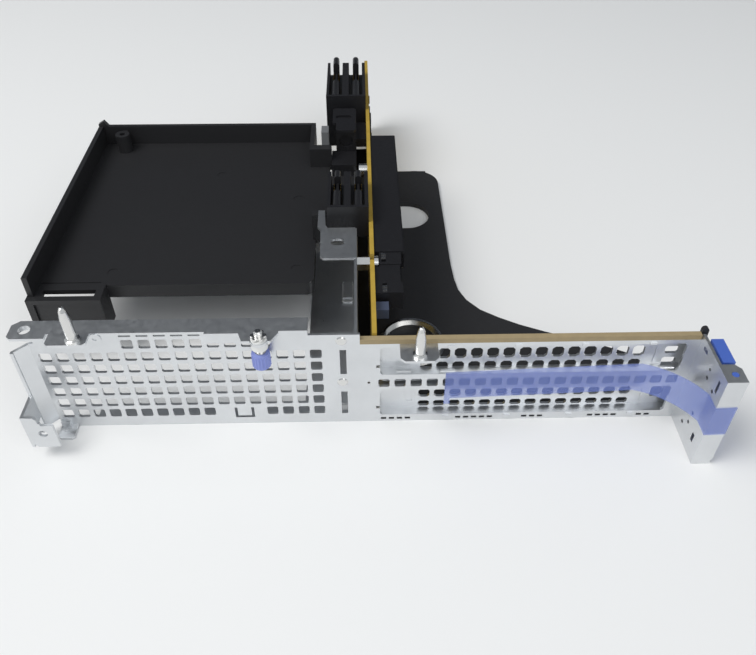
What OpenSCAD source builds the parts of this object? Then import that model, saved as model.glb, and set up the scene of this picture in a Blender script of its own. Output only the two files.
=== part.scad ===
// Riser cage bracket: the folded metal cage of a two-slot server riser, with
// its riser card, card sockets, plastic air tray, latch and captive screw.
// X runs across the rear wall, Y away from its outer face, Z up from the table.
// The origin is the middle of the footprint on the table.

/* [Rear panel] */
// thickness of the folded steel sheet
sheet_t = 1; // [0.8:0.1:1.2]
// riser card plane to the left end of the rear wall
wall_left = 110.9; // [109:0.1:114]
// height of the left part of the rear wall
panel_h = 44.5; // [44.2:0.1:47]
// height of the wall in front of the riser card
middle_h = 42.4; // [41:0.1:43]
// depth of the folded top flange
flange_d = 6.4; // [5:0.1:9]
// pitch of the square vent holes
vent_pitch = 5.5; // [5.2:0.1:5.6]
// side of one square vent hole
vent_w = 3.87; // [3.2:0.01:4.2]
// diameter of the raised hole in the flange end
flange_hole_d = 4; // [3:0.1:4.6]
// diameter of the hole in the side ear
ear_hole_d = 3; // [2.5:0.1:4]

/* [Slots] */
// height of one slot opening
slot_h = 12.7; // [11:0.1:13]
// length of a slot opening
slot_l = 101.6; // [98:0.1:102]
// depth of the slot opening in front of its cover
slot_d = 3.7; // [3:0.1:4.5]
// pitch of the holes in the slot covers
cover_pitch = 5.5; // [5.3:0.1:5.7]
// thickness of the shielding gasket on the slot edge
gasket_t = 1.9; // [1:0.1:2.6]
// depth of the shielding gasket
gasket_d = 2; // [1.5:0.1:2.2]

/* [Pins and screw] */
// radius of the guide pins
pin_r = 1.7; // [1.4:0.05:2]
// height of the left guide pin over its flange
pin_left_h = 13.6; // [10:0.1:15]
// height of the right guide pin over its tab
pin_right_h = 12; // [9:0.1:14]
// radius of the captive screw
screw_r = 1.45; // [1.2:0.05:1.5]
// radius of the screw knob
knob_r = 3.1; // [2.8:0.1:3.1]
// height of the screw knob
knob_h = 6.5; // [5:0.1:8]

/* [End bracket and latch] */
// how far the end bracket stands forward of the wall
bracket_d = 21.4; // [20:0.1:24]
// height of the end bracket
bracket_h = 40; // [39.5:0.1:41]
// radius of the latch pivot
pivot_r = 1.12; // [0.9:0.01:1.3]
// radial clearance of the latch pivot in its hole
pivot_gap = 0.06; // [0.04:0.01:0.1]

/* [Riser card] */
// length of the riser card
card_l = 214.2; // [212.2:0.5:219.7]
// thickness of the riser card
card_t = 1.6; // [1.4:0.1:1.8]
// height of the top edge of the riser card
card_top = 41; // [40.6:0.1:41]
// length of a card socket
socket_l = 89; // [86:0.5:90]
// height of the board connectors
connector_top = 48; // [46:0.5:50]

/* [Air tray] */
// riser card plane to the left side of the tray
tray_left = 125.5; // [122:0.5:130]
// top of the tray floor
tray_floor = 29.5; // [28.5:0.1:30]
// top of the tray rim
tray_rim = 38.5; // [36:0.5:40]
// far side of the tray
tray_far = 151; // [148:0.5:156]

/* [Base plate] */
// thickness of the base plate
plate_t = 2.3; // [2:0.1:2.4]
// outer radius of the ring on the base plate
ring_r = 13; // [12:0.5:13.5]

/* [Hidden] */
$fn = 48;
fit = 0.3;
soft = 0.45;
pin_collar = 0.7;
wl = -wall_left;
flange_z = panel_h - sheet_t;
mid_x0 = -21.5;
right_x0 = -4.8;
wall_right = 108.5;
slot_z0 = plate_t + sheet_t;
slot_pitch = 20.32;
slot_x0 = 1.9;
slot_top = slot_z0 + slot_pitch + slot_h;
right_h = slot_top + 1.7;
bar_z0 = slot_z0 + slot_h;
bar_z1 = slot_z0 + slot_pitch;
bracket_x1 = 114.2;
bracket_y = -bracket_d;
pivot = [111.3, bracket_y + 3.5];
film_t = 0.3;
screw_at = [-36.6, -3.6];
screw_top = 3.5;
ring_at = [15.3, 36.7];
card_y0 = 2.3;
card_y1 = card_y0 + card_l;
card_x = card_t / 2;
card_z0 = 3;
support_x = -6.5;
support_l = 120;
support_top = 42;
tab_z = support_top - sheet_t;
socket_y = 47;
socket_w = 7.5;
socket_d = 11.3;
socket_z = [15.93, 36.25];
standoff_at = [[43, 38], [24, 9]];
stud_at = [112, 36];
rivet_at = [[-10.8, 39.6], [-10.8, 20.4]];
x_min = -tray_left - 0.5;
x_max = bracket_x1;
y_min = bracket_y - film_t;
y_max = card_y1;
middle = [-(x_min + x_max) / 2, -(y_min + y_max) / 2, 0];

// ---- shared shapes -------------------------------------------------------
module placed() {
  translate(middle) children();
}

module box(x, y, z) {
  translate([x[0], y[0], z[0]]) cube([x[1] - x[0], y[1] - y[0], z[1] - z[0]]);
}

// a flat outline in X and Z standing as a sheet from y to y + t
module upright(y, t) {
  translate([0, y + t, 0]) rotate([90, 0, 0]) linear_extrude(t) children();
}

// a flat outline in Y and Z standing as a sheet from x to x + t
module sideways(x, t) {
  translate([x, 0, 0]) rotate([90, 0, 90]) linear_extrude(t) children();
}

// a flat outline in X and Y lying as a sheet from z to z + t
module flat(z, t) {
  translate([0, 0, z]) linear_extrude(t) children();
}

module area(x, y) {
  translate([x[0], y[0]]) square([x[1] - x[0], y[1] - y[0]]);
}

// a punched hole with eased corners
module punched(x, y, c = soft) {
  polygon([[x[0] + c, y[0]], [x[1] - c, y[0]], [x[1], y[0] + c],
    [x[1], y[1] - c], [x[1] - c, y[1]], [x[0] + c, y[1]],
    [x[0], y[1] - c], [x[0], y[0] + c]]);
}

module disc(at, r) {
  translate(at) circle(r);
}

// a slotted hole of radius r between two points on one axis
module oblong(a, b, r) {
  disc(a, r);
  disc(b, r);
  area([min(a[0], b[0]) - (a[1] == b[1] ? 0 : r), max(a[0], b[0]) + (a[1] == b[1] ? 0 : r)],
    [min(a[1], b[1]) - (a[1] == b[1] ? r : 0), max(a[1], b[1]) + (a[1] == b[1] ? r : 0)]);
}

// ---- rear panel ----------------------------------------------------------
vent_x0 = wl + 1.7;
vent_z0 = 4.6;
vent_cols = floor((-17 - vent_w - vent_x0) / vent_pitch) + 1;
tab_col = 11;

module vent(j, z, h) {
  x = vent_x0 + vent_pitch * j;
  punched([x, x + vent_w], [z, z + h], min(soft, h / 4));
}

module vent_field() {
  for (j = [0:vent_cols - 1]) {
    for (k = [1:5])
      vent(j, vent_z0 + 5.5 * k, vent_w);
    if (j < tab_col - 1 || j > tab_col + 1)
      vent(j, vent_z0, vent_w);
  }
  // relief beside the raised hole
  area([wl - 1, wl + 1.6], [40.4, panel_h + 1]);
  for (j = [5:9]) {
    vent(j, vent_z0 + 33, vent_w);
    vent(j, flange_z - 0.7, 0.7);
  }
  for (j = [10:12])
    vent(j, vent_z0 + 33, vent_w / 2);
  vent(13, vent_z0 + 33, vent_w);
  vent(13, flange_z - 0.7, 0.7);
}

// the lanced tab is free on three sides and hangs from its top edge
module lanced_gap() {
  x = vent_x0 + vent_pitch * tab_col;
  difference() {
    area([x - 0.4, x + 6.4], [3.1, 8.3]);
    area([x + 0.6, x + 5.4], [4.1, 8.4]);
  }
}

module bar_holes() {
  for (i = [0:18]) {
    x = slot_x0 - 0.6 + 5.51 * i;
    punched([x, x + vent_w], [bar_z0 + 1.75, bar_z1 - 2.25]);
  }
}

module wall_outline() {
  difference() {
    union() {
      area([wl, mid_x0], [0, panel_h]);
      area([mid_x0 - 1, right_x0], [0, middle_h]);
      area([right_x0 - 1, wall_right], [0, right_h]);
    }
    vent_field();
    lanced_gap();
    bar_holes();
    for (z = [slot_z0, slot_z0 + slot_pitch]) {
      punched([slot_x0, slot_x0 + slot_l], [z, z + slot_h], 0.8);
      area([slot_x0 - 1.3, slot_x0 + 1], [z + 3.4, z + 4.6]);
    }
    area([-11.5, -9.3], [24.3, 35.6]);
    area([-11.5, -9.3], [4.4, 15.7]);
    disc([-1.9, 19.9], 0.5);
    for (g = [[2.3, 4], [28.9, 5], [52.7, 3], [76.5, 4], [94.2, 2]])
      for (i = [0:g[1] - 1])
        area([g[0] + 2.85 * i, g[0] + 1.9 + 2.85 * i], [0.9, 1.9]);
  }
}

module slot_lips() {
  for (z = [bar_z0, bar_z1 - sheet_t])
    box([slot_x0 - 0.9, slot_x0 + slot_l + 1], [0, slot_d], [z, z + sheet_t]);
  box([slot_x0 - 0.9, wall_right - 1.5], [0, slot_d], [plate_t, slot_z0]);
  // spring bumps on the lips and small hooks on the slot edges
  for (x = [7.5:15:98])
    translate([x, 1.9, bar_z1 - 0.95]) rotate([0, 90, 0]) cylinder(r = 1.25, h = 5, $fn = 32);
  for (x = [25.3, 47.3, 69.5, 91.8])
    for (z = [right_h - 1.3, 2.2])
      box([x - 1.1, x + 1.1], [-0.5, 0.5], [z - 0.4, z + 0.4]);
}

module top_flange_outline() {
  polygon([[wl - 5.4, 1.5], [wl - 5.4, -1], [wl - 4.2, -2.1], [wl + 6.6, -2.1],
    [wl + 6.6, 0], [-103.4, 0], [-103.4, -4.3], [-102.4, -5.3], [-91.6, -5.3],
    [-90.6, -4.3], [-90.6, 0], [-54.3, 0], [-54.3, -0.9], [-43.4, -0.9],
    [-42, -4.6], [-32.9, -4.6], [-30.7, -0.9], [-30.7, 0], [mid_x0, 0],
    [mid_x0, flange_d], [wl - 3, flange_d], [wl - 5.4, flange_d - 2]]);
}

module top_flange() {
  difference() {
    flat(flange_z, sheet_t) {
      top_flange_outline();
      disc(screw_at, 3);
    }
    translate([wl - 0.8, 2.1, flange_z - 1]) cylinder(d = flange_hole_d, h = 3 * sheet_t);
    translate([screw_at[0], screw_at[1], flange_z - 1]) cylinder(r = screw_r + 0.5, h = 3);
  }
  translate([wl - 0.8, 2.1, flange_z - 0.8])
    difference() {
      cylinder(d = flange_hole_d + 1.4, h = 0.8);
      translate([0, 0, -1]) cylinder(d = flange_hole_d, h = 3);
    }
  box([-54.3, -43.2], [-0.9, 0], [flange_z - 0.6, panel_h]);
}

module right_flange() {
  z = right_h - sheet_t;
  flat(z, sheet_t)
    difference() {
      union() {
        area([right_x0, wall_right - 1.5], [0, gasket_d]);
        polygon([[8.2, 0], [8.2, -6.6], [9.7, -8.1], [19.1, -8.1], [20.6, -6.6], [20.6, 0]]);
      }
      for (x = [25.3, 47.3, 69.5, 91.8])
        area([x - 1.5, x + 1.5], [-1, 0.35]);
    }
}

// slanted strip, ear and foot at the left end of the wall
module left_ear() {
  ex = wl - 3.6;
  ear_y = -14;
  flat(3.9, 36.2)
    polygon([[wl + 0.7, 0], [wl, sheet_t], [wl - 0.4, sheet_t], [ex - sheet_t, -3.2],
      [ex - sheet_t, -4.2], [ex, -4.2], [ex, -3.6], [wl, 0]]);
  difference() {
    sideways(ex - sheet_t, sheet_t)
      polygon([[ear_y, 5.8], [-7.4, 5.8], [-6.4, 3.9], [-3.6, 3.9], [-3.6, 21.5], [-4.4, 20.4],
        [ear_y, 20.4]]);
    sideways(ex - 2 * sheet_t, 3 * sheet_t)
      polygon([[-7.4, 5], [-3.4, 5], [-3, 10.2], [-6.8, 9.6]]);
  }
  difference() {
    upright(ear_y, sheet_t)
      polygon([[ex - sheet_t, 8.6], [ex + 1.2, 5.8], [wl + 4.9, 5.8], [wl + 4.9, 16.4],
        [wl + 1, 16.4], [wl + 0.9, 17.5], [wl + 0.4, 17.5], [wl + 0.2, 19.2], [wl - 0.6, 20.2],
        [ex, 20.4], [ex - sheet_t, 20.4]]);
    translate([wl + 0.8, ear_y - 1, 12.5]) rotate([-90, 0, 0])
      cylinder(d = ear_hole_d, h = 3);
  }
  flat(0, sheet_t)
    polygon([[wl + 0.2, 0.5], [wl + 0.2, -5.4], [wl + 1.2, -6.4], [wl + 5.2, -6.4],
      [wl + 5.9, -5.6], [wl + 5.9, 0.5]]);
  translate([wl + 2.1, -2.6, sheet_t - 0.1]) cylinder(r1 = 1, r2 = 0.6, h = 0.6);
  translate([wl + 0.6, 0, 0]) box([0, 3], [-1.4, 0.5], [0, 3.6]);
}

// forward-folded bracket at the right end, with its ledge holes and latch tabs
module end_bracket() {
  lx = wall_right - sheet_t;
  difference() {
    box([lx, wall_right], [bracket_y, 0.5], [0, bracket_h]);
    sideways(lx - 1, 4) {
      oblong([-3.6, 37.2], [-5.1, 37.2], 0.8);
      disc([-10.6, 31], 0.75);
      disc([-10.4, 34.6], 0.6);
      area([-18.3, -17], [31.5, 36.5]);
      disc([-15.9, 30.2], 0.7);
      disc([-7.3, 5.7], 0.7);
      disc([-10.6, 9.3], 0.7);
      disc([-11.1, 14.2], 0.8);
      area([-17, -15.4], [6, 9.6]);
    }
  }
  upright(bracket_y, sheet_t)
    polygon([[lx, 0.8], [lx + 0.8, 0], [bracket_x1 - 2.5, 0], [bracket_x1 - 0.7, 0.7],
      [bracket_x1, 2.5], [bracket_x1, bracket_h - 0.6], [bracket_x1 - 0.6, bracket_h],
      [lx, bracket_h]]);
  for (z = [0, bracket_h - sheet_t])
    difference() {
      flat(z, sheet_t)
        polygon([[lx, bracket_y], [bracket_x1, bracket_y], [bracket_x1, pivot[1] + 2.4],
          [bracket_x1 - 1.8, pivot[1] + 4.4], [lx, pivot[1] + 4.4]]);
      translate([pivot[0], pivot[1], z - 1]) cylinder(r = pivot_r + pivot_gap, h = 3);
    }
}

module rear_panel() {
  placed() color([0.72, 0.73, 0.74]) {
    upright(0, sheet_t) wall_outline();
    slot_lips();
    top_flange();
    right_flange();
    left_ear();
    end_bracket();
    box([wl + 12.1, -18], [0, 8], [0, sheet_t]);
    difference() {
      translate([-89.3, 0.2, 42.2]) rotate([90, 0, 0]) cylinder(d = 4.2, h = 0.5);
      translate([-89.3, 0.5, 42.2]) rotate([90, 0, 0]) cylinder(d = 1.3, h = 2);
    }
  }
}

// ---- slot covers ---------------------------------------------------------
// rows: list of [first hole x, bottom z, height, count]
module slot_cover(z0, z1, rows) {
  difference() {
    union() {
      upright(slot_d, sheet_t)
        difference() {
          punched([2, 107], [z0, z1], 1);
          for (r = rows)
            for (i = [0:r[3] - 1])
              punched([r[0] + cover_pitch * i, r[0] + cover_pitch * i + 4], [r[1], r[1] + r[2]],
                min(0.9, r[2] / 4));
          for (z = [z0 + 4.4, z1 - 8.7])
            punched([98.5, 103.2], [z, z + 3.3], 0.6);
        }
      box([95.3, 96.3], [slot_d - 0.4, slot_d + 0.5], [z1 - 12.5, z1 - 3.5]);
      for (x = [10.6, 13.4])
        box([x, x + 0.6], [slot_d - 0.3, slot_d + 0.5], [z1 - 10.5, z1 - 3.8]);
      box([10.6, 14], [slot_d - 0.3, slot_d + 0.5], [z1 - 11.1, z1 - 10.5]);
    }
  }
}

module slot_cover_upper() {
  top = right_h - sheet_t;
  placed() color([0.70, 0.71, 0.72])
    difference() {
      slot_cover(top - 18.2, top,
        [[21.6, top - 9.6, 4.7, 13], [15.7, top - 15.6, 4.4, 14]]);
      translate([0, 0, top - 3.4]) cube([5, 20, 10], center = false);
    }
}

module slot_cover_lower() {
  placed() color([0.70, 0.71, 0.72])
    slot_cover(plate_t, bar_z0 + 1.2, [[15.6, slot_z0 + 5, 4, 14], [15.6, slot_z0 + 0.3, 2.8, 14]]);
}

module emi_gasket() {
  placed() color([0.63, 0.55, 0.42])
    box([right_x0, wall_right - 1.3], [0, gasket_d], [right_h, right_h + gasket_t]);
}

// ---- pins and captive screw ----------------------------------------------
module guide_pin(at, z, h, r) {
  translate([at[0], at[1], z])
    rotate_extrude()
      polygon([[0, 0], [r + pin_collar, 0], [r + pin_collar, 0.8], [r, 1.1], [r, h - 4.5],
        [r * 0.72, h - 1.6], [r * 0.45, h - 0.3], [r * 0.2, h], [0, h]]);
}

module guide_pin_left() {
  placed() color([0.76, 0.76, 0.76]) guide_pin([-94.8, -3.0], panel_h, pin_left_h, pin_r);
}

module guide_pin_right() {
  placed() color([0.76, 0.76, 0.76]) guide_pin([14.5, -5.4], right_h, pin_right_h, pin_r);
}

boss_z = flange_z - 2.5;
module screw_ferrule() {
  placed() color([0.9, 0.9, 0.88])
    translate([screw_at[0], screw_at[1], 0])
      difference() {
        union() {
          translate([0, 0, boss_z]) cylinder(r = 2.7, h = flange_z - boss_z);
          translate([0, 0, flange_z]) cylinder(r = screw_r + 0.47, h = sheet_t);
          translate([0, 0, panel_h]) cylinder(r = 2.6, h = 0.5);
        }
        translate([0, 0, boss_z - 1]) cylinder(r = screw_r + 0.08, h = 8);
      }
}

// star-shaped ring that keeps the screw in its ferrule
ring_z = panel_h + 0.9;
module screw_ring() {
  placed() color([0.8, 0.8, 0.8])
    translate([screw_at[0], screw_at[1], ring_z])
      difference() {
        union() {
          cylinder(r = 1.95, h = 0.8);
          for (a = [0:60:300])
            rotate([0, 0, a]) translate([1.85, 0, 0]) cylinder(r = 0.75, h = 0.8);
        }
        translate([0, 0, -1]) cylinder(r = screw_r + 0.04, h = 4);
      }
}

knob_top = boss_z - 2;
module thumbscrew_shank() {
  placed() color([0.78, 0.78, 0.78])
    translate([screw_at[0], screw_at[1], 0]) {
      translate([0, 0, knob_top - knob_h + 1]) cylinder(r = screw_r, h = panel_h + screw_top - knob_top + knob_h - 1.5);
      translate([0, 0, panel_h + screw_top - 0.5]) cylinder(r1 = screw_r, r2 = screw_r - 0.5, h = 0.5);
      translate([0, 0, knob_top]) cylinder(r = 1.9, h = 0.4);
    }
}

module thumbscrew_knob() {
  placed() color([0.48, 0.54, 0.86])
    translate([screw_at[0], screw_at[1], knob_top - knob_h])
      difference() {
        union() {
          translate([0, 0, 0.6]) cylinder(r = knob_r - 0.25, h = knob_h - 0.6);
          cylinder(r1 = knob_r - 0.8, r2 = knob_r - 0.25, h = 0.6);
          for (a = [0:20:340])
            rotate([0, 0, a]) translate([knob_r - 0.3, 0, 0.8]) cylinder(r = 0.28, h = knob_h - 1.6, $fn = 16);
        }
        translate([0, 0, 1]) cylinder(r = screw_r, h = knob_h);
      }
}

// ---- latch ---------------------------------------------------------------
latch_z0 = sheet_t + 0.35;
latch_z1 = bracket_h - sheet_t - 0.35;
module retention_latch() {
  px = pivot[0];
  py = pivot[1];
  placed() color([0.26, 0.36, 0.78]) {
    translate([px, py, latch_z0]) cylinder(r = 2.05, h = latch_z1 - latch_z0);
    translate([px, py, 0.2]) cylinder(r = pivot_r, h = bracket_h - 0.4);
    box([px - 0.2, px + 2], [py, py + 16], [latch_z0, latch_z1]);
    box([px - 2, px + 2], [py + 5.2, py + 16], [latch_z1 - 4, bracket_h]);
    box([px - 2, px + 2], [py + 5.2, py + 16], [latch_z0, latch_z0 + 3]);
    box([px - 2, px + 2], [py + 14.5, py + 16], [latch_z0, bracket_h]);
    for (z = [12, 20, 28])
      box([px - 1.6, px + 1], [py + 3, py + 15], [z, z + 1.4]);
    for (z = [15, 18, 21, 24, 27])
      box([px + 1, px + 2.5], [py + 10, py + 15], [z, z + 1]);
  }
}

// ---- riser support and card ----------------------------------------------
module riser_support() {
  placed() color([0.68, 0.69, 0.70]) {
    sideways(support_x, sheet_t)
      difference() {
        polygon([[sheet_t, 0.5], [support_l - 4, 0.5], [support_l + 1, 6], [support_l + 1, 30],
          [94, 34], [62, 34], [60, support_top - 0.2], [sheet_t, support_top - 0.2]]);
        oblong([20, 20], [20, 28], 3);
        for (y = [70, 88])
          oblong([y, 12], [y, 20], 3);
        area([104, 112], [14, 24]);
      }
    // flange behind the wall, open behind the wall's upright slots
    upright(sheet_t, sheet_t)
      difference() {
        area([-16, support_x + sheet_t], [1, 41.5]);
        for (z = [[23.8, 36.1], [3.9, 16.2]])
          area([-12, -8.8], z);
      }
    // foot flange with a lanced flap
    difference() {
      flat(0, sheet_t)
        polygon([[support_x + 0.5, 8], [support_x + 0.5, 100], [-23, 100], [-25, 98], [-25, 8]]);
      box([-12.4, -7.4], [64.6, 78], [-1, 2]);
    }
    translate([-9.9, 77.8, 0.5]) rotate([-8, 0, 0]) box([-1.9, 1.9], [-12.4, 0.6], [-0.5, 0.5]);
    difference() {
      flat(tab_z, sheet_t)
        polygon([[support_x + 0.5, 41.2], [-17.9, 41.2], [-18.9, 42.4], [-19.2, 59], [-20.4, 61],
          [-20.4, 72], [-17.9, 72], [-17.4, 62], [-16.6, 60.2], [support_x + 0.5, 60.2]]);
      translate([0, 0, tab_z - 1]) linear_extrude(4) oblong([-13.3, 51], [-12.1, 51], 2);
    }
  }
}

module riser_card() {
  placed() color([0.72, 0.58, 0.18])
    sideways(-card_x, card_t)
      difference() {
        polygon([[card_y0, card_z0], [card_y1 - 1, card_z0], [card_y1, card_z0 + 1],
          [card_y1, card_top - 1], [card_y1 - 1, card_top], [card_y0, card_top]]);
        for (s = standoff_at)
          disc(s, 1.7);
        area([standoff_at[0][0] - 1.7, standoff_at[0][0] + 1.7], [standoff_at[0][1], 50]);
        disc([205, 9], 1.7);
      }
}

module card_socket(z) {
  x1 = card_x + socket_d;
  y1 = socket_y + socket_l;
  difference() {
    union() {
      box([card_x, x1 - 0.4], [socket_y + 0.4, y1 - 0.6], [z - socket_w / 2, z + socket_w / 2]);
      box([x1 - 0.6, x1], [socket_y, y1], [z - socket_w / 2 + 0.4, z + socket_w / 2 - 0.4]);
    }
    box([x1 - 7.6, x1 + 1], [socket_y + 2.5, socket_y + 13.2], [z - 0.95, z + 0.95]);
    box([x1 - 7.6, x1 + 1], [socket_y + 15.1, y1 - 2.5], [z - 0.95, z + 0.95]);
    for (s = [-1, 1])
      box([x1 - 2, x1 + 1], [socket_y + 3.5, y1 - 3.5], [z + 1.7 * s - 0.3, z + 1.7 * s + 0.3]);
  }
}

module card_socket_upper() {
  placed() color([0.06, 0.06, 0.07]) card_socket(socket_z[1]);
}

module card_socket_lower() {
  placed() color([0.06, 0.06, 0.07]) card_socket(socket_z[0]);
}

// two long rows of spring contacts in each socket, on a common strip per row
module socket_contacts() {
  placed() color([0.80, 0.66, 0.30])
    for (z = socket_z)
      for (s = [-1, 1])
        for (i = [0:19])
          box([card_x + 4.2, card_x + 9.2], [socket_y + 16.5 + 3.5 * i, socket_y + 17.5 + 3.5 * i],
            [z + 0.85 * s - 0.1, z + 0.85 * s + 0.1]);
}

side_y = [23.7, 46.9];
module side_connector() {
  placed() color([0.05, 0.05, 0.06])
    difference() {
      union() {
        box([card_x, 10], [side_y[0] + 3, side_y[1] - 3], [32.7, 39.6]);
        box([card_x, 10.6], [side_y[0], side_y[0] + 5.5], [32.5, 40]);
        box([card_x, 10.6], [side_y[1] - 7, side_y[1]], [32.5, 40]);
      }
      box([3.2, 11], [side_y[0] + 2.5, side_y[0] + 12.2], [35.3, 37.2]);
      box([3.2, 11], [side_y[0] + 14, side_y[1] - 2.5], [35.3, 37.2]);
      box([0, card_x + 1.8], [39, 50], [31, 42]);
      for (y = [side_y[0] + 4.2, side_y[1] - 5.6])
        box([3.4, 5], [y, y + 1.4], [38.9, 41]);
    }
}

module connector_clips() {
  placed() color([0.74, 0.74, 0.74])
    for (y = [side_y[0] + 1, side_y[0] + 2.8, side_y[1] - 3.6, side_y[1] - 1.8])
      box([3.4, 5], [y, y + 0.8], [40, 40.4]);
}

module side_block() {
  placed() color([0.30, 0.34, 0.42])
    box([card_x, 5.4], [18, 22.5], [33, 37]);
}

module board_components() {
  placed() color([0.10, 0.10, 0.11]) {
    for (y = [52, 66, 80, 94, 108, 122])
      box([card_x, card_x + 1.2], [y, y + 4], [24, 27.4]);
    for (y = [146, 168, 190])
      box([card_x, card_x + 1.5], [y, y + 8], [12, 20]);
    for (y = [150, 160, 172, 184, 196])
      box([card_x, card_x + 0.8], [y, y + 3.2], [26, 29]);
    for (y = [140, 204])
      box([-card_x - 1, -card_x], [y, y + 5], [10, 15]);
  }
}

// ---- board connectors ----------------------------------------------------
// tall housing with a front plate, three walls and round-topped tongues between them
module tongue(x, w, y, z) {
  box([x - w / 2, x + w / 2], y, [z[0], z[1] - w / 2]);
  translate([x, y[0], z[1] - w / 2]) rotate([-90, 0, 0]) cylinder(r = w / 2, h = y[1] - y[0]);
}

module board_connector(x0, y, z0, rise) {
  x1 = -card_x;
  w = x1 - x0;
  len = y[1] - y[0];
  top = connector_top;
  zb = top - 7;
  box([x0, x1], y, [z0, zb]);
  box([x0, x1], [y[0], y[0] + 1.6], [z0, top]);
  for (x = [[x0, x0 + 1.3], [x0 + 0.4 * w, x0 + 0.57 * w], [x1 - 1.5, x1]])
    box(x, [y[0] + 0.5, y[1]], [zb - 0.5, top - 0.6]);
  for (x = [x0 + 0.235 * w, x0 + 0.755 * w]) {
    tongue(x, 0.2 * w, [y[0] + 1, y[0] + 0.46 * len], [zb - 0.5, top]);
    tongue(x, 0.16 * w, [y[1] - 0.2 * len, y[1] - 0.5], [zb - 0.5, top + rise]);
    box([x - 0.5, x + 0.5], [y[0] + 0.4 * len, y[1] - 0.1 * len], [zb - 0.5, top - 3]);
  }
}

module blades(x0, y, count) {
  w = -card_x - x0;
  pitch = 0.3 * (y[1] - y[0]) / count;
  for (c = [0.235, 0.755])
    for (i = [0:count - 1])
      for (side = [-1.5, 1.1])
        box([x0 + w * c + side, x0 + w * c + side + 0.4],
          [y[0] + 0.48 * (y[1] - y[0]) + pitch * i, y[0] + 0.48 * (y[1] - y[0]) + pitch * i + 0.6],
          [connector_top - 7, connector_top - 2]);
}

module near_connector() {
  placed() color([0.05, 0.05, 0.06]) board_connector(-16.8, [65, 92], 34.3, 0.4);
}

module near_blades() {
  placed() color([0.62, 0.55, 0.36]) blades(-16.8, [65, 92], 4);
}

module far_connector() {
  placed() color([0.05, 0.05, 0.06]) board_connector(-19.5, [159, 198], 22, 2.6);
}

module far_blades() {
  placed() color([0.62, 0.55, 0.36]) blades(-19.5, [159, 198], 6);
}

module connector_saddle() {
  placed() color([0.07, 0.07, 0.08]) {
    flat(42.8, 1.2)
      difference() {
        union() {
          punched([-16.2, -5.5], [140, 154.5], 1);
          punched([-14.6, -5.5], [133, 141], 1);
        }
        oblong([-13.2, 146], [-8.9, 146], 1.5);
      }
    difference() {
      box([-14.6, -5.5], [134, 153], [12, 43]);
      translate([-10.2, 133, 38]) rotate([-90, 0, 0]) cylinder(r = 3.2, h = 2.5);
    }
    box([-16.6, -5.5], [121.5, 134.5], [12, 33]);
    box([-5.6, -card_x], [136, 152], [20, 24]);
    box([-5.6, -card_x], [136, 152], [34, 38]);
  }
}

module spacer_plate() {
  placed() color([0.45, 0.46, 0.48])
    box([-21, -17.8], [130, 136.3], [28, 44.6]);
}

module card_standoffs() {
  placed() color([0.76, 0.76, 0.76]) {
    for (s = standoff_at)
      translate([support_x + sheet_t, s[0], s[1]]) rotate([0, 90, 0])
        cylinder(d = 5.5, h = -card_x - support_x - sheet_t, $fn = 6);
    translate([-card_x - 3.6, stud_at[0], stud_at[1]]) rotate([0, 90, 0])
      cylinder(r = 2.9, h = 3.6);
  }
}

module card_screws() {
  placed() color([0.80, 0.80, 0.80])
    for (s = standoff_at)
      translate([card_x, s[0], s[1]]) rotate([0, 90, 0])
        difference() {
          union() {
            cylinder(r = 2.75, h = 1.5);
            translate([0, 0, -card_t]) cylinder(r = 1.4, h = card_t + 0.5);
          }
          translate([0, 0, 0.8]) cylinder(r = 1.1, h = 2, $fn = 6);
        }
}

module panel_rivets() {
  placed() color([0.78, 0.78, 0.78])
    for (r = rivet_at)
      translate([r[0], 0, r[1]]) rotate([90, 0, 0]) {
        cylinder(r1 = 1.9, r2 = 1.5, h = 0.35);
      }
}

// ---- air tray ------------------------------------------------------------
floor_b = tray_floor - 1.5;
tl = -tray_left;
leg_y = 33.6;
module tray_floor_outline() {
  difference() {
    union() {
      area([tl, -25], [42.5, tray_far]);
      area([-26, -22], [45.5, 88]);
      disc([-25, 45.5], 3);
      area([-26, -17.5], [87, 127]);
      area([-20, support_x], [96, 118]);
    }
    area([-24.4, 0], [130, tray_far + 1]);
  }
}

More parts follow.
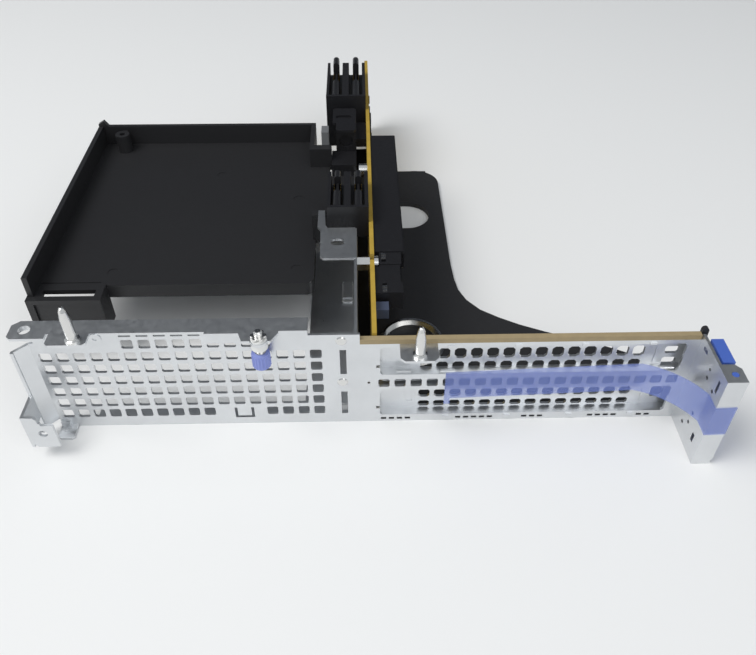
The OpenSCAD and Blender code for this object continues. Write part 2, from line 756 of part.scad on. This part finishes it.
module air_tray() {
  placed() color([0.09, 0.09, 0.10])
    difference() {
      union() {
        flat(floor_b, 1.5) tray_floor_outline();
        box([tl, tl + 2], [36, tray_far], [floor_b, tray_rim]);
        box([tl, -24.4], [tray_far - 2, tray_far], [floor_b, tray_rim]);
        box([-26.4, -24.4], [128, tray_far], [floor_b, tray_rim]);
        box([-26.4, -16.6], [126, 130], [floor_b, tray_rim]);
        box([tl + 26, -25], [42.5, 44], [tray_floor - 5.7, tray_floor]);
        translate([-25, 45.5, tray_floor - 5.7])
          difference() {
            intersection() {
              cylinder(r = 3, h = 5.7);
              translate([0, -4, 0]) cube([4, 4, 6]);
            }
            translate([0, 0, -1]) cylinder(r = 1.5, h = 6);
          }
        box([-23.5, -22], [45.4, 66], [tray_floor - 5.7, tray_floor]);
        upright(tray_far - 2, 2)
          polygon([[tl, tray_rim - 1], [tl + 4.5, tray_rim - 1], [tl + 4.5, tray_rim],
            [tl + 2.6, tray_rim + 2.6], [tl, tray_rim + 1]]);
        translate([tl + 12, tray_far - 8, floor_b]) cylinder(r = 3.2, h = tray_rim - floor_b - 0.7);
        box([tl + 11, tl + 13], [tray_far - 8, tray_far - 1], [floor_b, tray_rim - 2]);
        box([-23, -17], [70, 74], [floor_b, tab_z]);
        // box leg at the near left corner, open to the front
        box([tl - 0.5, tl + 26.6], [leg_y, 43], [floor_b, tray_floor + 0.4]);
        box([tl - 0.5, tl + 2], [leg_y, 43], [14, floor_b + 1]);
        box([tl + 24.4, tl + 26.6], [leg_y, 43], [14, floor_b + 1]);
        box([tl, tl + 26], [leg_y + 0.9, leg_y + 2.2], [14, floor_b + 1]);
        // ribs under the floor
        for (y = [70, 100, 125])
          box([tl, -26], [y, y + 1.5], [tray_floor - 5, floor_b + 0.5]);
      }
      box([tl + 4.5, tl + 23.8], [leg_y + 2.5, leg_y + 6], [20, 40]);
      box([tl + 2, tl + 24.4], [44, 44.5], [tray_floor - 0.3, 40]);
      translate([tl + 12, tray_far - 8, floor_b + 2]) cylinder(r = 1.3, h = 20);
      for (p = [[-28.6, 51.4], [-30.4, 100], [tl + 27.5, 50.4], [tl + 60, 120]])
        translate([p[0], p[1], tray_floor - 0.2]) cylinder(r = 2.2, h = 1);
    }
}

// ---- base plate ----------------------------------------------------------
// the outer edge sweeps from the long arm along the card to the rear wall
arc_c = [97, 92];
arc_r = 61.5;
module plate_outline() {
  difference() {
    union() {
      area([support_x + sheet_t, 30], [1.3, 167.3]);
      area([20, 35.7], [1.3, 156]);
      disc([24.2, 156], 11.5);
      polygon([[30, 1.3], [107.2, 1.3], [107.2, 27.3], [103.7, 28.3], [89.7, 35.3], [69.4, 43.3],
        [60, 47.6], [52, 52.2], [45, 57.2], [40, 63.5], [37.2, 70.4], [36.2, 78], [35.7, 88],
        [30, 88]]);
    }
    // finger hole
    disc([18, 127], 10.9);
    area([8, 18], [116.1, 137.9]);
    for (p = [[60, 20], [88, 16]])
      disc(p, 3);
  }
}

module base_plate() {
  placed() color([0.13, 0.13, 0.14]) {
    flat(0, plate_t) plate_outline();
    // upright corner behind the end of the wall
    box([107.4, 109.6], [1.3, 2.8], [0, 40.6]);
    translate([108.5, 2.8, 40.6]) rotate([90, 0, 0]) cylinder(r = 1.1, h = 1.5);
    box([105.5, 109.6], [1.3, 6], [0, plate_t]);
  }
}

module plate_ring() {
  placed() color([0.75, 0.75, 0.76])
    translate([ring_at[0], ring_at[1], plate_t])
      difference() {
        union() {
          cylinder(r = ring_r, h = 1);
          cylinder(r = ring_r - 1, h = 3.4);
        }
        translate([0, 0, -1]) cylinder(r = ring_r - 3.3, h = 8);
        translate([0, 0, 1.8]) cylinder(r = ring_r - 2, h = 8);
      }
}

// ---- film strip ----------------------------------------------------------
// one flexible strip: along the wall, bent across the inner corner, round the bracket
film_h = 12.8;
film_rise = 0.046;
film_x0 = 24.2;
film_bend = 15.2;
film_end = [wall_right - sheet_t - film_t, -film_t - film_bend];
// half way between a full bend into the corner and a straight bridge
film_path = [for (a = [90:-10:0])
  0.5 * [film_end[0] - film_bend + film_bend * cos(a) + film_end[0] - 19.2 * a / 90,
    film_end[1] + film_bend * sin(a) + film_end[1] + 14.9 * a / 90]];
module film_strip() {
  lx = wall_right - sheet_t;
  placed() color([0.48, 0.54, 0.86, 0.6])
    multmatrix([[1, 0, 0, 0], [0, 1, 0, 0], [film_rise, 0, 1, 11.6 - film_rise * film_x0], [0, 0, 0, 1]])
      union() {
        linear_extrude(film_h)
          polygon(concat([[film_x0, -0.05], [film_x0, -film_t]], film_path,
            [[film_end[0], bracket_y - film_t], [bracket_x1, bracket_y - film_t],
              [bracket_x1, bracket_y - 0.05], [film_end[0] + 0.25, bracket_y - 0.05]],
            [for (i = [len(film_path) - 1:-1:0]) film_path[i] + [0.21, 0.21]]));
        translate([film_x0, -film_t, -2.8]) cube([2.1, 0.25, 4]);
      }
}

rear_panel();
slot_cover_upper();
slot_cover_lower();
emi_gasket();
guide_pin_left();
guide_pin_right();
screw_ferrule();
screw_ring();
thumbscrew_shank();
thumbscrew_knob();
retention_latch();
riser_support();
riser_card();
card_socket_upper();
card_socket_lower();
socket_contacts();
side_connector();
connector_clips();
side_block();
board_components();
near_connector();
near_blades();
far_connector();
far_blades();
connector_saddle();
spacer_plate();
card_standoffs();
card_screws();
panel_rivets();
air_tray();
base_plate();
plate_ring();
film_strip();
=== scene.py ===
"""Looks for the riser cage bracket: the finish of each solid, the floor, the light and the camera.

Every visible form is a solid of the frame, so this script adds finishes and a stage and no pieces.
Lengths are in metres, in the frame's own axes: +X right, +Y away from the viewer, +Z up.
"""
import math

import bpy
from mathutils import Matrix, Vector

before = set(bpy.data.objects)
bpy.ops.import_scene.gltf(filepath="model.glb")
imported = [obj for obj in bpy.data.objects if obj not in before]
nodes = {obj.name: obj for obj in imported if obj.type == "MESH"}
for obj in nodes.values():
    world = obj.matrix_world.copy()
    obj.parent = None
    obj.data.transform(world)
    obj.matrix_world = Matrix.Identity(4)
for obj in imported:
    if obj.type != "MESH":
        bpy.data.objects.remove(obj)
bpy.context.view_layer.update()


# ---- finishes: two helpers ------------------------------------------------
# A finish is one principled shader. Fine noise varies its roughness and raises a shallow grain,
# and broad noise lightens and darkens its colour, so that no surface is perfectly even.
GRAIN_SCALE = 600.0   # cells of the fine noise in a metre
GRAIN_DETAIL = 4
GRAIN_DEPTH = 0.0002  # height of the raised grain
TONE_DETAIL = 3


def noise(tree, scale, detail):
    """Solid noise laid over the piece itself, so that it moves with it."""
    place = tree.nodes.new("ShaderNodeTexCoord")
    cells = tree.nodes.new("ShaderNodeTexNoise")
    cells.inputs["Scale"].default_value = scale
    cells.inputs["Detail"].default_value = detail
    tree.links.new(place.outputs["Object"], cells.inputs["Vector"])
    return cells.outputs["Fac"]


def finish(name, color, rough=0.4, metal=0.0, grain=0.0, bump=0.0, spec=0.5, tone=0.0, tone_scale=90.0):
    """A material. grain and tone are how far roughness and colour swing, bump how strong the relief."""
    mat = bpy.data.materials.new(name)
    mat.use_nodes = True
    tree = mat.node_tree
    shader = tree.nodes["Principled BSDF"]
    shader.inputs["Base Color"].default_value = (*color, 1)
    shader.inputs["Roughness"].default_value = rough
    shader.inputs["Metallic"].default_value = metal
    shader.inputs["Specular IOR Level"].default_value = spec
    if grain or bump:
        fine = noise(tree, GRAIN_SCALE, GRAIN_DETAIL)
    if grain:
        spread = tree.nodes.new("ShaderNodeMapRange")
        spread.inputs["To Min"].default_value = rough - grain
        spread.inputs["To Max"].default_value = rough + grain
        tree.links.new(fine, spread.inputs["Value"])
        tree.links.new(spread.outputs["Result"], shader.inputs["Roughness"])
    if bump:
        relief = tree.nodes.new("ShaderNodeBump")
        relief.inputs["Strength"].default_value = bump
        relief.inputs["Distance"].default_value = GRAIN_DEPTH
        tree.links.new(fine, relief.inputs["Height"])
        tree.links.new(relief.outputs["Normal"], shader.inputs["Normal"])
    if tone:
        mix = tree.nodes.new("ShaderNodeMix")
        mix.data_type = "RGBA"
        mix.inputs["A"].default_value = (*[c * (1 - tone) for c in color], 1)
        mix.inputs["B"].default_value = (*[c * (1 + tone) for c in color], 1)
        tree.links.new(noise(tree, tone_scale, TONE_DETAIL), mix.inputs["Factor"])
        tree.links.new(mix.outputs["Result"], shader.inputs["Base Color"])
    return mat


def dress(mat, *names):
    """Gives these solids this finish and no other."""
    for name in names:
        slots = nodes[name].data.materials
        slots.clear()
        slots.append(mat)


# ---- folded sheet ---------------------------------------------------------
# The rear panel, the perforated slot covers and the support sheet behind them.
# Zinc-plated steel, punched and folded, riveted together; the plating clouds a little.
dress(finish("zinc_sheet", (0.72, 0.735, 0.75), 0.33, 0.95, grain=0.1, bump=0.08, tone=0.09),
      "rear_panel", "slot_cover_upper", "slot_cover_lower", "riser_support")

# ---- turned and pressed hardware ------------------------------------------
# Guide pins, captive screw and its ring, standoffs, card screws, rivets, clips, base plate's ring.
# Bright plated steel, turned or stamped, pressed or screwed into the sheet.
dress(finish("plated_steel", (0.74, 0.735, 0.72), 0.2, 1.0, grain=0.05, tone=0.04),
      "guide_pin_left", "guide_pin_right", "screw_ring", "thumbscrew_shank", "card_standoffs",
      "card_screws", "panel_rivets", "connector_clips", "plate_ring")

# ---- spacer ---------------------------------------------------------------
# The small plate that stands against the tray's arm. Darker unplated steel.
dress(finish("grey_sheet", (0.22, 0.225, 0.235), 0.5, 0.4, grain=0.1), "spacer_plate")

# ---- captive screw's plastic ----------------------------------------------
# White moulded ferrule snapped through the top flange, and the lavender knob under it.
dress(finish("white_plastic", (0.8, 0.8, 0.78), 0.45), "screw_ferrule")
dress(finish("knob_blue", (0.25, 0.30, 0.66), 0.42, grain=0.08), "thumbscrew_knob")

# ---- retention latch ------------------------------------------------------
# Royal blue moulded plastic, turning on two pegs in the end bracket.
dress(finish("latch_blue", (0.07, 0.14, 0.50), 0.36, grain=0.06), "retention_latch")

# ---- shielding gasket -----------------------------------------------------
# Foam wrapped in tan conductive cloth, glued along the edge over the slots.
dress(finish("gasket_cloth", (0.34, 0.265, 0.15), 0.78, grain=0.1, bump=0.5, tone=0.15, tone_scale=300.0),
      "emi_gasket")

# ---- riser card and contacts ----------------------------------------------
# Glass-fibre board, amber on its cut edge and screwed to the standoffs; gilt spring contacts
# stand in its sockets and board connectors.
dress(finish("card_edge", (0.46, 0.31, 0.05), 0.4, grain=0.12, tone=0.25, tone_scale=180.0), "riser_card")
dress(finish("contact_gold", (0.62, 0.45, 0.18), 0.28, 1.0), "socket_contacts", "near_blades", "far_blades")

# ---- connector housings ---------------------------------------------------
# Black moulded housings soldered to the card, and a slate blue block beside them.
dress(finish("moulded_black", (0.012, 0.012, 0.014), 0.38, grain=0.1, bump=0.12),
      "card_socket_upper", "card_socket_lower", "side_connector", "near_connector", "far_connector",
      "connector_saddle", "board_components")
dress(finish("slate_plastic", (0.06, 0.075, 0.12), 0.45, grain=0.1), "side_block")

# ---- air tray -------------------------------------------------------------
# One moulded black tray with a satin floor. The cage carries it clear of the table, and its short
# box leg hangs free at the near left corner.
dress(finish("tray_black", (0.019, 0.019, 0.0205), 0.4, grain=0.07, bump=0.05, spec=0.45), "air_tray")

# ---- base plate -----------------------------------------------------------
# Powder-painted black plate with the finger hole, lying flat behind the slots.
dress(finish("painted_black", (0.022, 0.022, 0.024), 0.5, grain=0.1, bump=0.15, spec=0.4), "base_plate")

# ---- film strip -----------------------------------------------------------
# Clear blue film stuck along the slots and round the end bracket; the vents show through it.
film = finish("film", (0.22, 0.30, 0.74), 0.22, grain=0.05)
film.node_tree.nodes["Principled BSDF"].inputs["Alpha"].default_value = 0.38
dress(film, "film_strip")


# ---- floor and dark card --------------------------------------------------
# A plain pale floor just under the part, and a matt dark card that stands behind, out of view:
# the upward sheet faces mirror it and take their deeper grey from it.
FLOOR_WIDTH = 8.0
FLOOR_DROP = 0.00005
CARD_SIZE = (3.4, 1.9, 1.0)
CARD_PLACE = (0.1, 1.25, 1.2)


def stage_plane(name, mat, place, scale=(1, 1, 1), turn=(0, 0, 0)):
    """A square sheet, a metre wide before scale, that belongs to the stage."""
    bpy.ops.mesh.primitive_plane_add(size=1, location=place, rotation=turn)
    plane = bpy.context.object
    plane.name = name
    plane.scale = scale
    bpy.ops.object.transform_apply(location=True, rotation=True, scale=True)
    plane.data.materials.append(mat)


stage_plane("floor", finish("floor_paper", (0.85, 0.85, 0.845), 0.75, spec=0.2),
            (0, 0, -FLOOR_DROP), (FLOOR_WIDTH, FLOOR_WIDTH, 1))
stage_plane("dark_card", finish("card_felt", (0.05, 0.055, 0.065), 0.9, spec=0.1),
            CARD_PLACE, CARD_SIZE, (math.radians(90), 0, 0))


# ---- light ----------------------------------------------------------------
# A pale even room, a large soft lamp high on the left and a weaker one from the front right.
ROOM_STRENGTH = 0.54
world = bpy.data.worlds.new("room")
bpy.context.scene.world = world
world.use_nodes = True
world.node_tree.nodes["Background"].inputs["Color"].default_value = (0.9, 0.95, 1.0, 1)
world.node_tree.nodes["Background"].inputs["Strength"].default_value = ROOM_STRENGTH


def lamp(name, place, aim, size, power, tint=(1, 1, 1)):
    """A round soft lamp of that width and power in watts, turned to face aim."""
    data = bpy.data.lights.new(name, "AREA")
    data.shape = "DISK"
    data.size = size
    data.energy = power
    data.color = tint
    light = bpy.data.objects.new(name, data)
    bpy.context.scene.collection.objects.link(light)
    light.location = place
    light.rotation_euler = (Vector(aim) - Vector(place)).to_track_quat("-Z", "Y").to_euler()


lamp("key", (-0.75, -0.35, 1.25), (0, 0, 0), 0.9, 12.5, (1, 0.99, 0.97))
lamp("fill", (0.5, -0.9, 1.1), (0, -0.05, 0), 1.1, 4)


# ---- camera ---------------------------------------------------------------
# It looks down from the front at about 42 degrees, close to the part and turned a little right.
FOCAL_LENGTH = 35.877  # mm
SENSOR_WIDTH = 36      # mm
CAMERA_PLACE = (0.0019872, -0.2743201, 0.2075093)
CAMERA_TURN = (47.5101, -0.2191, -1.4222)  # degrees

lens = bpy.data.cameras.new("camera")
lens.lens = FOCAL_LENGTH
lens.sensor_width = SENSOR_WIDTH
camera = bpy.data.objects.new("camera", lens)
bpy.context.scene.collection.objects.link(camera)
camera.location = CAMERA_PLACE
camera.rotation_euler = [math.radians(a) for a in CAMERA_TURN]
bpy.context.scene.camera = camera
bpy.context.scene.view_settings.view_transform = "Standard"
